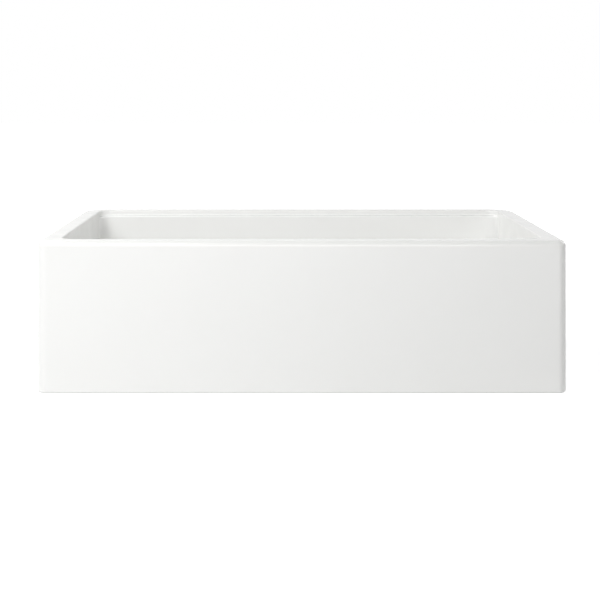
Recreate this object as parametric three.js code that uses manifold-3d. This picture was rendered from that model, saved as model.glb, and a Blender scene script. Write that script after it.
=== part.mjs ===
// A farmhouse sink: one glazed fireclay bowl with a tall apron at the front, a step ledge in its front
// and back walls, a floor that falls to the drain, and a hollow foot that shelters a basket strainer.
// Millimetres, +Z up, +X to the right. The apron faces -Y. The origin is on the ground under the
// middle of the sink, and the drain is on the Z axis.

import * as THREE from 'three';
import { mergeVertices } from 'three/addons/utils/BufferGeometryUtils.js';
import Module from 'manifold-3d';

const wasm = await Module();
wasm.setup();

// ---- Driving dimensions: fireclay body ----

const WIDTH = 900; // across the foot
const DEPTH = 480; // across the foot, apron to back
const HEIGHT = 260;
const OUTER_DRAFT = 1; // degrees that the outside leans in on its way up
const FRONT_CORNER_R = 16;
const BACK_CORNER_R = 50;
const FOOT_OUTER_R = 4;
const RIM_OUTER_R = 10;
const RIM_INNER_R = 3;
const WALL = 35; // at the rim; above the ledges it is thinner by their width
const BOWL_DRAFT = 0.5; // degrees that the bowl narrows on its way down
const BOWL_CORNER_R = 24;
const COVE_R = 20; // between the bowl's walls and its floor
const LEDGE_DROP = 11; // rim to ledge
const LEDGE_WIDTH = 10;
const LEDGE_EDGE_R = 3;
const LEDGE_ROOT_R = 2;
const FLOOR_FALL = 5; // walls to drain
const FLOOR_THICKNESS = 20; // at the drain
const FOOT_HEIGHT = 35; // ground to the underside of the floor
const FOOT_WIDTH = 34; // width of the ring that the sink stands on
const FOOT_INNER_R = 3;
const RECESS_DRAFT = 2;
const RECESS_CORNER_R = 30;
const RECESS_EDGE_R = 12;
const DRAIN_HOLE_R = 45;
const REBATE_DEPTH = 3.5; // sunk seat of the strainer's flange
const REBATE_EASE = 1.5; // slope on the edges of the rebate and the hole

// ---- Driving dimensions: strainer ----

const CUP_SHEET = 1.2; // metal of the cup and its flange
const FLANGE_OVERLAP = 12.5; // flange past the edge of the drain hole
const FLANGE_LIP = 2.2; // depth of the flange's turned-down edge
const DISH_MARGIN = 2; // edge of the drain hole to where the flange starts to dip
const DISH_DEPTH = 5.5;
const CUP_CORNER_R = 6;
const OUTLET_R = 19;
const OUTLET_EASE = 1;
const COLLAR_WALL = 4.5;
const COLLAR_LENGTH = 11.5;
const FLANGE_SEAL_THICKNESS = 1.2;
const GASKET_THICKNESS = 3;
const FRICTION_RING_THICKNESS = 1;
const FRICTION_RING_WIDTH = 12.5;
const LOCKNUT_HEIGHT = 9;
const LOCKNUT_WALL = 8.5;
const LOCKNUT_FLANGE_WIDTH = 12;
const LOCKNUT_FLANGE_THICKNESS = 2.5;
const LOCKNUT_LUGS = 8;
const LUG_LENGTH = 7;
const LUG_OVERLAP = 4; // how deep a lug roots in the nut
const LUG_ROOT_WIDTH = 15;
const LUG_TIP_WIDTH = 10;
const THREAD_RUNOUT = 2; // thread left bare under the locknut
const CROSS_HUB_R = 5;
const CROSS_ARM_WIDTH = 2.5;
const CROSS_HEIGHT = 3;
const CROSS_RISE = 2.5; // collar's end to the cross
const TAIL_WASHER_THICKNESS = 1.6;
const TAIL_WASHER_BORE_R = 19.5;
const COUPLING_FLATS = 8;
const COUPLING_WALL = 5; // bore to flat
const COUPLING_CHAMFER = 1.5;
const COUPLING_HEIGHT = 13;
const COUPLING_LIP = 2;
const COUPLING_MOUTH_R = 20.3;

// ---- Driving dimensions: lift-out basket and its stopper ----

const BASKET_SHEET = 0.9;
const BASKET_RIM_INSET = 2.7; // flange's dip to the basket's rim
const BASKET_TAPER = 4; // how much narrower the basket is at its floor
const BASKET_CORNER_R = 4;
const NECK_BORE_R = 5.7;
const NECK_HEIGHT = 9.5;
const NECK_MOUTH_R = 4.2;
const SLOT_COUNT = 24;
const SLOT_WIDTH = 3;
const SLOT_TOP_MARGIN = 4; // basket's rim to the slots
const SLOT_BOTTOM_MARGIN = 5.5; // basket's floor to the slots
const FLOOR_HOLE_R = 1.8;
const FLOOR_HOLE_COUNTS = [8, 14]; // in rings spaced evenly from the neck to the wall
const STOPPER_TRAVEL = 6; // open to closed
const STEM_R = 3.5;
const STEM_THREAD_R = 3;
const STEM_GROOVE_DEPTH = 0.5;
const STEM_GROOVE_HEIGHT = 1.4;
const STEM_END = 1; // thread that shows under the nut
const KNOB_R = 11.5;
const KNOB_EDGE_R = 3;
const KNOB_HEIGHT = 12;
const KNOB_CROWN = 0.6; // rise of the knob's top from its edge to its middle
const KNOB_HEAD_HEIGHT = 7.2;
const KNOB_WAIST_R = 6;
const KNOB_FOOT_R = 7.5;
const KNOB_FOOT_HEIGHT = 2;
const KNOB_SOCKET_DEPTH = 7;
const KNOB_CLEARANCE = 0.6; // over the neck, with the stopper closed
const STOPPER_SEAL_R = 24.5;
const STOPPER_SEAL_THICKNESS = 4;
const STOPPER_SEAL_BEVEL = 1.6;
const STOPPER_WASHER_R = 17;
const STOPPER_WASHER_THICKNESS = 1;
const STOPPER_NUT_R = 5.8; // over the corners
const STOPPER_NUT_HEIGHT = 5;
const CLIP_HEIGHT = 6.5;
const CLIP_SLOT_ANGLE = 36; // degrees left open in the split sleeve

// ---- Clearances ----

const SEAT_GAP = 0.3; // between stacked pieces
const RUNNING_GAP = 0.25; // round the stem
const THREAD_GAP = 0.3;
const HOLE_CLEARANCE = 2.5; // cup in the drain hole
const REBATE_CLEARANCE = 2; // flange in the rebate
const FLANGE_SEAL_CLEARANCE = 1.3; // seal inside the flange's lip
const LIFT_GAP = 0.5; // stopper washer to the basket's floor
const BASKET_CLEARANCE = 2.3; // basket's wall in the mouth of the cup

// ---- Fineness ----

const CORNER_STEPS = 8;
const COVE_STEPS = 5;
const EDGE_STEPS = 4;
const SMALL_EDGE_STEPS = 2;
const ROUND_SEGMENTS = 40;
const SMALL_SEGMENTS = 24;
const HOLE_SEGMENTS = 8;
const CUT_MARGIN = 5; // how far a cutter runs past the face that it opens
const LEAST_CORNER_R = 0.5;
const WELD_DISTANCE = 1e-4;

// ---- Heights, all worked up or down from the sink's floor ----

const DRAIN_Z = FOOT_HEIGHT + FLOOR_THICKNESS;
const FLOOR_Z = DRAIN_Z + FLOOR_FALL;
const LEDGE_Z = HEIGHT - LEDGE_DROP;
const REBATE_Z = DRAIN_Z - REBATE_DEPTH;
const FLANGE_SEAL_Z = REBATE_Z + SEAT_GAP;
const FLANGE_TOP_Z = FLANGE_SEAL_Z + FLANGE_SEAL_THICKNESS + SEAT_GAP + CUP_SHEET;
const GASKET_Z = FOOT_HEIGHT - SEAT_GAP - GASKET_THICKNESS;
const FRICTION_RING_Z = GASKET_Z - SEAT_GAP - FRICTION_RING_THICKNESS;
const LOCKNUT_Z = FRICTION_RING_Z - SEAT_GAP - LOCKNUT_HEIGHT;
const CUP_BOTTOM_Z = LOCKNUT_Z - THREAD_RUNOUT;
const CUP_FLOOR_Z = CUP_BOTTOM_Z + CUP_SHEET;
const COLLAR_END_Z = CUP_BOTTOM_Z - COLLAR_LENGTH;
const CROSS_Z = COLLAR_END_Z + CROSS_RISE;
const TAIL_WASHER_Z = COLLAR_END_Z - SEAT_GAP - TAIL_WASHER_THICKNESS;
const COUPLING_Z = TAIL_WASHER_Z - SEAT_GAP - COUPLING_LIP;
const SEAL_Z = CUP_FLOOR_Z + SEAT_GAP + STOPPER_TRAVEL;
const STOPPER_WASHER_Z = SEAL_Z + STOPPER_SEAL_THICKNESS + SEAT_GAP;
const STOPPER_NUT_Z = SEAL_Z - SEAT_GAP - STOPPER_NUT_HEIGHT;
const STEM_SHOULDER_Z = STOPPER_WASHER_Z + STOPPER_WASHER_THICKNESS + SEAT_GAP;
const BASKET_FLOOR_Z = STOPPER_WASHER_Z + STOPPER_WASHER_THICKNESS + LIFT_GAP;
const NECK_TOP_Z = BASKET_FLOOR_Z + NECK_HEIGHT;
const CLIP_Z = NECK_TOP_Z - BASKET_SHEET - SEAT_GAP - CLIP_HEIGHT;
const KNOB_Z = NECK_TOP_Z + KNOB_CLEARANCE + STOPPER_TRAVEL;

// ---- Radii that follow from their neighbours ----

const FLANGE_R = DRAIN_HOLE_R + FLANGE_OVERLAP;
const REBATE_R = FLANGE_R + REBATE_CLEARANCE;
const DISH_R = DRAIN_HOLE_R + DISH_MARGIN;
const THREAD_R = DRAIN_HOLE_R - HOLE_CLEARANCE; // outside of the cup
const CUP_BORE_R = THREAD_R - CUP_SHEET;
const NUT_BORE_R = THREAD_R + THREAD_GAP;
const COLLAR_R = OUTLET_R + COLLAR_WALL;
const COUPLING_BORE_R = COLLAR_R + THREAD_GAP;
const BASKET_RIM_R = DISH_R - BASKET_RIM_INSET;
const BASKET_TOP_R = CUP_BORE_R - BASKET_CLEARANCE;
const BASKET_BOTTOM_R = BASKET_TOP_R - BASKET_TAPER;

// ---- Materials ----

const glaze = new THREE.MeshStandardMaterial({ color: 0xf1f0ed, roughness: 0.12, metalness: 0 });
const steel = new THREE.MeshStandardMaterial({ color: 0xb9bbbd, roughness: 0.28, metalness: 1 });
const zinc = new THREE.MeshStandardMaterial({ color: 0x9a9c9e, roughness: 0.5, metalness: 0.9 });
const rubber = new THREE.MeshStandardMaterial({ color: 0x1d1d1e, roughness: 0.8, metalness: 0 });
const fibre = new THREE.MeshStandardMaterial({ color: 0x8c5a3a, roughness: 0.9, metalness: 0 });
const foam = new THREE.MeshStandardMaterial({ color: 0xd9d6cc, roughness: 0.9, metalness: 0 });
const nylon = new THREE.MeshStandardMaterial({ color: 0xe9e6dc, roughness: 0.5, metalness: 0 });

// ---- Shape helpers ----

const slope = (degrees) => Math.tan(THREE.MathUtils.degToRad(degrees));

/** A named piece of the sink. */
function piece(name, geometry, material) {
  const mesh = new THREE.Mesh(geometry, material);
  mesh.name = name;
  return mesh;
}

/** A closed geometry as a solid that can be joined and cut. */
function toSolid(geometry) {
  const bare = geometry.clone();
  bare.deleteAttribute('normal');
  bare.deleteAttribute('uv');
  const welded = mergeVertices(bare, WELD_DISTANCE);
  const corners = welded.index.array;
  const triVerts = [];
  for (let i = 0; i < corners.length; i += 3) {
    const [a, b, c] = [corners[i], corners[i + 1], corners[i + 2]];
    if (a !== b && b !== c && c !== a) triVerts.push(a, b, c);
  }
  const vertProperties = welded.attributes.position.array;
  const mesh = new wasm.Mesh({ numProp: 3, vertProperties, triVerts: new Uint32Array(triVerts) });
  return new wasm.Manifold(mesh);
}

/** A solid as a geometry. */
function toGeometry(solid) {
  const mesh = solid.getMesh();
  const geometry = new THREE.BufferGeometry();
  geometry.setAttribute('position', new THREE.BufferAttribute(new Float32Array(mesh.vertProperties), 3));
  geometry.setIndex(new THREE.BufferAttribute(new Uint32Array(mesh.triVerts), 1));
  geometry.computeVertexNormals();
  return geometry;
}

/** A geometry with the cutters' shapes taken out of it. */
function pierced(blank, cutters) {
  return toGeometry(cutters.reduce((solid, cutter) => solid.subtract(toSolid(cutter)), toSolid(blank)));
}

/** Points [radius, height] on an arc about [r, z], from one angle to another in degrees, both included. */
function arc(r, z, radius, from, to, steps = EDGE_STEPS) {
  return Array.from({ length: steps + 1 }, (_, i) => {
    const angle = THREE.MathUtils.degToRad(from + ((to - from) * i) / steps);
    return [r + radius * Math.cos(angle), z + radius * Math.sin(angle)];
  });
}

/** A solid of revolution about Z. The outline runs anticlockwise and starts and ends on the axis. */
function turned(outline, segments = ROUND_SEGMENTS) {
  const points = outline.map(([r, z]) => new THREE.Vector2(r, z));
  return new THREE.LatheGeometry(points, segments).rotateX(Math.PI / 2);
}

/** A ring about Z. The outline runs anticlockwise and is closed here. */
function turnedRing(outline, segments = ROUND_SEGMENTS) {
  return turned([...outline, outline[0]], segments);
}

/** A flat washer that stands on height z. */
function washer(boreR, outerR, z, thickness, segments = ROUND_SEGMENTS) {
  return turnedRing([[boreR, z], [outerR, z], [outerR, z + thickness], [boreR, z + thickness]], segments);
}

/** A flat disc that stands on height z. */
function disc(radius, z, thickness, segments = ROUND_SEGMENTS) {
  return turned([[0, z], [radius, z], [radius, z + thickness], [0, z + thickness]], segments);
}

/** A flat outline, extruded upwards from height z. */
function extruded(shape, z, height, curveSegments = CORNER_STEPS) {
  const options = { depth: height, bevelEnabled: false, curveSegments };
  return new THREE.ExtrudeGeometry(shape, options).translate(0, 0, z);
}

/** One level of a loft: a rectangle with round corners, anticlockwise from its back right corner. */
function roundedLevel({ z, halfWidth, front, back, frontR, backR }) {
  const corners = [
    { x: 1, y: back, inward: -1, radius: backR, start: 0 },
    { x: -1, y: back, inward: -1, radius: backR, start: 90 },
    { x: -1, y: front, inward: 1, radius: frontR, start: 180 },
    { x: 1, y: front, inward: 1, radius: frontR, start: 270 },
  ];
  return corners.flatMap(({ x, y, inward, radius, start }) => {
    const r = Math.max(radius, LEAST_CORNER_R);
    const ring = arc(x * (halfWidth - r), y + inward * r, r, start, start + 90, CORNER_STEPS);
    return ring.map(([px, py]) => new THREE.Vector3(px, py, z));
  });
}

/** One level of a loft: a circle about Z, with as many points as a rounded level. */
function roundLevel(radius, z) {
  const count = 4 * (CORNER_STEPS + 1);
  return Array.from({ length: count }, (_, i) => {
    const angle = ((i + 0.5) / count) * 2 * Math.PI;
    return new THREE.Vector3(radius * Math.cos(angle), radius * Math.sin(angle), z);
  });
}

/** A solid skinned over levels that are listed from the lowest to the highest, with flat ends. */
function loft(levels) {
  const count = levels[0].length;
  const positions = levels.flatMap((level) => level.flatMap((p) => p.toArray()));
  const index = [];
  for (let i = 0; i + 1 < levels.length; i++) {
    for (let j = 0; j < count; j++) {
      const [a, b] = [i * count + j, i * count + ((j + 1) % count)];
      index.push(a, b, b + count, a, b + count, a + count);
    }
  }
  const top = (levels.length - 1) * count;
  for (let j = 1; j + 1 < count; j++) {
    index.push(0, j + 1, j, top, top + j, top + j + 1);
  }
  const geometry = new THREE.BufferGeometry();
  geometry.setAttribute('position', new THREE.BufferAttribute(new Float32Array(positions), 3));
  geometry.setIndex(index);
  return geometry;
}

// ---- Fireclay body ----

/** The outside of the casting at one height, drawn in by inset on an eased edge. */
function outerLevel(z, inset) {
  const lean = z * slope(OUTER_DRAFT) + inset;
  return roundedLevel({
    z,
    halfWidth: WIDTH / 2 - lean,
    front: lean - DEPTH / 2,
    back: DEPTH / 2 - lean,
    frontR: FRONT_CORNER_R - inset,
    backR: BACK_CORNER_R - inset,
  });
}

/** Foot edge, leaning walls and the round outer edge of the rim. */
function outerBlock() {
  const foot = arc(0, FOOT_OUTER_R, FOOT_OUTER_R, -90, 0);
  const rim = arc(0, HEIGHT - RIM_OUTER_R, RIM_OUTER_R, 0, 90);
  return loft([
    ...foot.map(([out, z]) => outerLevel(z, FOOT_OUTER_R - out)),
    ...rim.map(([out, z]) => outerLevel(z, RIM_OUTER_R - out)),
  ]);
}

/** The bowl at one height: inset draws it in all round, step sets back the front and back walls only. */
function bowlLevel(z, inset, step) {
  const lean = HEIGHT * slope(OUTER_DRAFT) + WALL + (HEIGHT - z) * slope(BOWL_DRAFT) + inset;
  return roundedLevel({
    z,
    halfWidth: WIDTH / 2 - lean,
    front: lean - step - DEPTH / 2,
    back: DEPTH / 2 - lean + step,
    frontR: BOWL_CORNER_R - inset,
    backR: BOWL_CORNER_R - inset,
  });
}

/** The space in the bowl: falling floor, cove, walls, step ledges and the rim's round inner edge. */
function bowlSpace() {
  const cove = arc(0, FLOOR_Z + COVE_R, COVE_R, -90, 0, COVE_STEPS);
  const ledgeEdge = arc(LEDGE_EDGE_R, LEDGE_Z - LEDGE_EDGE_R, LEDGE_EDGE_R, 180, 90, SMALL_EDGE_STEPS);
  const ledgeRoot = arc(0, LEDGE_Z + LEDGE_ROOT_R, LEDGE_ROOT_R, -90, 0, SMALL_EDGE_STEPS);
  const lip = arc(RIM_INNER_R, HEIGHT - RIM_INNER_R, RIM_INNER_R, 180, 90);
  return loft([
    roundLevel(REBATE_R + REBATE_EASE, DRAIN_Z),
    ...cove.map(([out, z]) => bowlLevel(z, COVE_R - out, 0)),
    ...ledgeEdge.map(([out, z]) => bowlLevel(z, 0, out)),
    ...ledgeRoot.map(([out, z]) => bowlLevel(z, 0, LEDGE_WIDTH - LEDGE_ROOT_R + out)),
    ...lip.map(([out, z]) => bowlLevel(z, -out, LEDGE_WIDTH)),
    bowlLevel(HEIGHT + CUT_MARGIN, -RIM_INNER_R, LEDGE_WIDTH),
  ]);
}

/** The hollow under the floor, inside the foot. */
function footRecess() {
  const level = (z, inset) => {
    const lean = FOOT_WIDTH + z * slope(RECESS_DRAFT) + inset;
    return roundedLevel({
      z,
      halfWidth: WIDTH / 2 - lean,
      front: lean - DEPTH / 2,
      back: DEPTH / 2 - lean,
      frontR: RECESS_CORNER_R - inset,
      backR: RECESS_CORNER_R - inset,
    });
  };
  const mouth = arc(FOOT_INNER_R, FOOT_INNER_R, FOOT_INNER_R, 270, 180);
  const ceiling = arc(0, FOOT_HEIGHT - RECESS_EDGE_R, RECESS_EDGE_R, 0, 90);
  return loft([
    level(-CUT_MARGIN, -FOOT_INNER_R),
    ...mouth.map(([out, z]) => level(z, -out)),
    ...ceiling.map(([out, z]) => level(z, RECESS_EDGE_R - out)),
  ]);
}

/** The drain hole with its sunk, eased seat for the strainer's flange. */
function drainCut() {
  return turned([
    [0, FOOT_HEIGHT - CUT_MARGIN],
    [DRAIN_HOLE_R, FOOT_HEIGHT - CUT_MARGIN],
    [DRAIN_HOLE_R, REBATE_Z - REBATE_EASE],
    [DRAIN_HOLE_R + REBATE_EASE, REBATE_Z],
    [REBATE_R, REBATE_Z],
    [REBATE_R, DRAIN_Z - REBATE_EASE],
    [REBATE_R + 2 * REBATE_EASE, DRAIN_Z + REBATE_EASE],
    [REBATE_R + 2 * REBATE_EASE, FLOOR_Z + CUT_MARGIN],
    [0, FLOOR_Z + CUT_MARGIN],
  ]);
}

function sinkBody() {
  return pierced(outerBlock(), [bowlSpace(), footRecess(), drainCut()]);
}

// ---- Strainer, fixed in the floor ----

/** Flange with a turned-down lip, dished mouth, straight cup and outlet collar, in one pressing. */
function strainerBody() {
  const flangeUnder = FLANGE_TOP_Z - CUP_SHEET;
  return turnedRing([
    [OUTLET_R, COLLAR_END_Z],
    [COLLAR_R, COLLAR_END_Z],
    [COLLAR_R, CUP_BOTTOM_Z],
    ...arc(THREAD_R - CUP_CORNER_R, CUP_BOTTOM_Z + CUP_CORNER_R, CUP_CORNER_R, -90, 0),
    [THREAD_R, FLANGE_TOP_Z - DISH_DEPTH - CUP_SHEET / 2],
    [DISH_R - CUP_SHEET / 2, flangeUnder],
    [FLANGE_R - CUP_SHEET, flangeUnder],
    [FLANGE_R - CUP_SHEET, FLANGE_TOP_Z - FLANGE_LIP],
    [FLANGE_R, FLANGE_TOP_Z - FLANGE_LIP],
    ...arc(FLANGE_R - CUP_SHEET, flangeUnder, CUP_SHEET, 0, 90, SMALL_EDGE_STEPS),
    [DISH_R, FLANGE_TOP_Z],
    [CUP_BORE_R, FLANGE_TOP_Z - DISH_DEPTH],
    ...arc(THREAD_R - CUP_CORNER_R, CUP_BOTTOM_Z + CUP_CORNER_R, CUP_CORNER_R - CUP_SHEET, 0, -90),
    [OUTLET_R + OUTLET_EASE, CUP_FLOOR_Z],
    [OUTLET_R, CUP_FLOOR_Z - OUTLET_EASE],
  ]);
}

/** A ring from the edge of the drain hole to just inside the flange's lip. */
function flangeSeal() {
  const outerR = FLANGE_R - CUP_SHEET - FLANGE_SEAL_CLEARANCE;
  return washer(DRAIN_HOLE_R + REBATE_EASE, outerR, FLANGE_SEAL_Z, FLANGE_SEAL_THICKNESS);
}

/** A rubber ring under the floor, as wide as the flange above it. */
function underGasket() {
  return washer(NUT_BORE_R, FLANGE_R, GASKET_Z, GASKET_THICKNESS);
}

function frictionRing() {
  return washer(NUT_BORE_R, NUT_BORE_R + FRICTION_RING_WIDTH, FRICTION_RING_Z, FRICTION_RING_THICKNESS);
}

/** A ring nut with a bearing flange on top and tapered lugs for a spanner. */
function locknut() {
  const [hubR, topZ] = [NUT_BORE_R + LOCKNUT_WALL, LOCKNUT_Z + LOCKNUT_HEIGHT];
  const flangeR = NUT_BORE_R + LOCKNUT_FLANGE_WIDTH;
  const flangeZ = topZ - LOCKNUT_FLANGE_THICKNESS;
  let nut = toSolid(turnedRing([
    [NUT_BORE_R, LOCKNUT_Z],
    [hubR, LOCKNUT_Z],
    [hubR, flangeZ],
    [flangeR, flangeZ],
    [flangeR, topZ],
    [NUT_BORE_R, topZ],
  ]));
  const rootR = hubR - LUG_OVERLAP;
  const tipR = hubR + LUG_LENGTH;
  const lug = new THREE.Shape([
    new THREE.Vector2(rootR, -LUG_ROOT_WIDTH / 2),
    new THREE.Vector2(tipR, -LUG_TIP_WIDTH / 2),
    new THREE.Vector2(tipR, LUG_TIP_WIDTH / 2),
    new THREE.Vector2(rootR, LUG_ROOT_WIDTH / 2),
  ]);
  for (let i = 0; i < LOCKNUT_LUGS; i++) {
    const angle = ((i + 0.5) / LOCKNUT_LUGS) * 2 * Math.PI;
    nut = nut.add(toSolid(extruded(lug, LOCKNUT_Z, LOCKNUT_HEIGHT).rotateZ(angle)));
  }
  return toGeometry(nut);
}

/** Four flat arms and a hub, which keep cutlery out of the waste pipe. */
function outletCross() {
  const reach = OUTLET_R - SEAT_GAP;
  const bar = new THREE.BoxGeometry(2 * reach, CROSS_ARM_WIDTH, CROSS_HEIGHT);
  const arm = bar.translate(0, 0, CROSS_Z + CROSS_HEIGHT / 2);
  const hub = disc(CROSS_HUB_R, CROSS_Z, CROSS_HEIGHT, SMALL_SEGMENTS);
  const bore = disc(reach, COLLAR_END_Z, COLLAR_LENGTH);
  const cross = toSolid(arm).add(toSolid(arm.clone().rotateZ(Math.PI / 2))).add(toSolid(hub));
  return toGeometry(cross.intersect(toSolid(bore)));
}

function tailpieceWasher() {
  return washer(TAIL_WASHER_BORE_R, COLLAR_R, TAIL_WASHER_Z, TAIL_WASHER_THICKNESS);
}

/** A many-sided nut with chamfered corners, a threaded bore and an inner lip that holds the tailpiece. */
function couplingNut() {
  const flatR = COUPLING_BORE_R + COUPLING_WALL;
  const cornerR = flatR / Math.cos(Math.PI / COUPLING_FLATS);
  const topZ = COUPLING_Z + COUPLING_HEIGHT;
  const prism = new THREE.Shape(Array.from({ length: COUPLING_FLATS }, (_, i) => {
    const angle = ((i + 0.5) / COUPLING_FLATS) * 2 * Math.PI;
    return new THREE.Vector2(cornerR * Math.cos(angle), cornerR * Math.sin(angle));
  }));
  const lipZ = COUPLING_Z + COUPLING_LIP;
  const sleeve = turnedRing([
    [COUPLING_MOUTH_R, COUPLING_Z],
    [flatR, COUPLING_Z],
    [flatR + COUPLING_CHAMFER, COUPLING_Z + COUPLING_CHAMFER],
    [flatR + COUPLING_CHAMFER, topZ - COUPLING_CHAMFER],
    [flatR, topZ],
    [COUPLING_BORE_R, topZ],
    [COUPLING_BORE_R, lipZ],
    [COUPLING_MOUTH_R, lipZ],
  ]);
  const blank = toSolid(extruded(prism, COUPLING_Z - CUT_MARGIN, COUPLING_HEIGHT + 2 * CUT_MARGIN));
  return toGeometry(toSolid(sleeve).intersect(blank));
}

// ---- Lift-out basket ----

/** The dished flange's surface at one radius. */
function dishHeight(radius) {
  return FLANGE_TOP_Z - (DISH_DEPTH * (DISH_R - radius)) / (DISH_R - CUP_BORE_R);
}

/** The basket before it is pierced: rim, tapered wall, floor and guide neck, pressed from one sheet. */
function basketBlank() {
  const rimZ = dishHeight(BASKET_RIM_R) + SEAT_GAP;
  const rimTop = rimZ + BASKET_SHEET;
  const bend = BASKET_BOTTOM_R - BASKET_CORNER_R;
  const [floorZ, innerFloorZ] = [BASKET_FLOOR_Z, BASKET_FLOOR_Z + BASKET_SHEET];
  const neckR = NECK_BORE_R + BASKET_SHEET;
  const neckShoulderZ = NECK_TOP_Z - BASKET_SHEET;
  return turnedRing([
    [NECK_BORE_R, floorZ],
    ...arc(bend, floorZ + BASKET_CORNER_R, BASKET_CORNER_R, -90, 0),
    [BASKET_TOP_R, rimZ],
    [BASKET_RIM_R, rimZ],
    [BASKET_RIM_R, rimTop],
    [BASKET_TOP_R - BASKET_SHEET, rimTop],
    ...arc(bend, floorZ + BASKET_CORNER_R, BASKET_CORNER_R - BASKET_SHEET, 0, -90),
    [neckR, innerFloorZ],
    [neckR, neckShoulderZ],
    [neckR - BASKET_SHEET / 2, NECK_TOP_Z],
    [NECK_MOUTH_R, NECK_TOP_Z],
    [NECK_MOUTH_R, neckShoulderZ],
    [NECK_BORE_R, neckShoulderZ],
  ]);
}

/** One cutter for a wall slot with round ends, standing upright and running out along +X. */
function slotCutter() {
  const rimZ = dishHeight(BASKET_RIM_R);
  const low = BASKET_FLOOR_Z + SLOT_BOTTOM_MARGIN + SLOT_WIDTH / 2;
  const high = rimZ - SLOT_TOP_MARGIN - SLOT_WIDTH / 2;
  const slot = new THREE.Shape();
  slot.absarc(0, high, SLOT_WIDTH / 2, 0, Math.PI, false);
  slot.absarc(0, low, SLOT_WIDTH / 2, Math.PI, 2 * Math.PI, false);
  const length = BASKET_TOP_R - BASKET_BOTTOM_R + 2 * CUT_MARGIN;
  const bar = extruded(slot, 0, length, SMALL_EDGE_STEPS);
  return bar.rotateX(Math.PI / 2).rotateZ(Math.PI / 2).translate(BASKET_BOTTOM_R - CUT_MARGIN, 0, 0);
}

/** A ring of copies of a cutter about Z; offset turns the ring by that share of a step. */
function ringOf(cutter, count, offset) {
  const step = (2 * Math.PI) / count;
  return Array.from({ length: count }, (_, i) => cutter.clone().rotateZ((i + offset) * step));
}

/** Drills for the holes in the basket's floor, in rings between the neck and the wall. */
function floorDrills() {
  const depth = BASKET_SHEET + 2 * CUT_MARGIN;
  const drill = new THREE.CylinderGeometry(FLOOR_HOLE_R, FLOOR_HOLE_R, depth, HOLE_SEGMENTS)
    .rotateX(Math.PI / 2)
    .translate(0, 0, BASKET_FLOOR_Z + BASKET_SHEET / 2);
  const first = NECK_BORE_R + BASKET_SHEET;
  const spacing = (BASKET_BOTTOM_R - BASKET_CORNER_R - first) / (FLOOR_HOLE_COUNTS.length + 1);
  return FLOOR_HOLE_COUNTS.flatMap((count, i) => {
    const radius = first + spacing * (i + 1);
    return ringOf(drill.clone().translate(radius, 0, 0), count, 0.5);
  });
}

/** The basket with its wall slots and floor holes. */
function basket() {
  return pierced(basketBlank(), [...ringOf(slotCutter(), SLOT_COUNT, 0), ...floorDrills()]);
}

/** A split spring sleeve in the neck, which grips the stem. */
function detentClip() {
  const [boreR, outerR] = [STEM_R + RUNNING_GAP, NECK_BORE_R - SEAT_GAP];
  const half = THREE.MathUtils.degToRad(CLIP_SLOT_ANGLE / 2);
  const sleeve = new THREE.Shape();
  sleeve.absarc(0, 0, outerR, half, 2 * Math.PI - half, false);
  sleeve.absarc(0, 0, boreR, 2 * Math.PI - half, half, true);
  return extruded(sleeve, CLIP_Z, CLIP_HEIGHT, SMALL_SEGMENTS);
}

// ---- Stopper, which slides in the basket's neck ----

/** A groove round the stem, listed upwards. */
function groove(z) {
  const [low, high] = [z - STEM_GROOVE_HEIGHT / 2, z + STEM_GROOVE_HEIGHT / 2];
  return [[STEM_R, low], [STEM_R - STEM_GROOVE_DEPTH, z], [STEM_R, high]];
}

/** The stem, with one detent groove for open and one for closed. */
function stopperStem() {
  const bottomZ = STOPPER_NUT_Z - STEM_END;
  const topZ = KNOB_Z + KNOB_SOCKET_DEPTH - SEAT_GAP;
  const clipMiddle = CLIP_Z + CLIP_HEIGHT / 2;
  return turned([
    [0, bottomZ],
    [STEM_THREAD_R, bottomZ],
    [STEM_THREAD_R, STEM_SHOULDER_Z],
    [STEM_R, STEM_SHOULDER_Z],
    ...groove(clipMiddle),
    ...groove(clipMiddle + STOPPER_TRAVEL),
    [STEM_R, topZ],
    [0, topZ],
  ], SMALL_SEGMENTS);
}

/** A waisted knob with a domed head and a blind socket for the stem. */
function stopperKnob() {
  const socketR = STEM_R + RUNNING_GAP;
  const [socketTop, topZ] = [KNOB_Z + KNOB_SOCKET_DEPTH, KNOB_Z + KNOB_HEIGHT];
  return turned([
    [0, socketTop],
    [socketR, socketTop],
    [socketR, KNOB_Z],
    [KNOB_FOOT_R, KNOB_Z],
    [KNOB_FOOT_R, KNOB_Z + KNOB_FOOT_HEIGHT / 2],
    [KNOB_WAIST_R, KNOB_Z + KNOB_FOOT_HEIGHT],
    [KNOB_WAIST_R, topZ - KNOB_HEAD_HEIGHT],
    ...arc(KNOB_R - KNOB_EDGE_R, topZ - KNOB_CROWN - KNOB_EDGE_R, KNOB_EDGE_R, -90, 90),
    [0, topZ],
  ], SMALL_SEGMENTS);
}

function stopperWasher() {
  const boreR = STEM_THREAD_R + RUNNING_GAP;
  return washer(boreR, STOPPER_WASHER_R, STOPPER_WASHER_Z, STOPPER_WASHER_THICKNESS, SMALL_SEGMENTS);
}

/** A rubber disc whose lower edge is bevelled to bed on the cup's floor. */
function stopperSeal() {
  const boreR = STEM_THREAD_R + RUNNING_GAP;
  const topZ = SEAL_Z + STOPPER_SEAL_THICKNESS;
  return turnedRing([
    [boreR, SEAL_Z],
    [STOPPER_SEAL_R - STOPPER_SEAL_BEVEL, SEAL_Z],
    [STOPPER_SEAL_R, SEAL_Z + STOPPER_SEAL_BEVEL],
    [STOPPER_SEAL_R, topZ],
    [boreR, topZ],
  ]);
}

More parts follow.
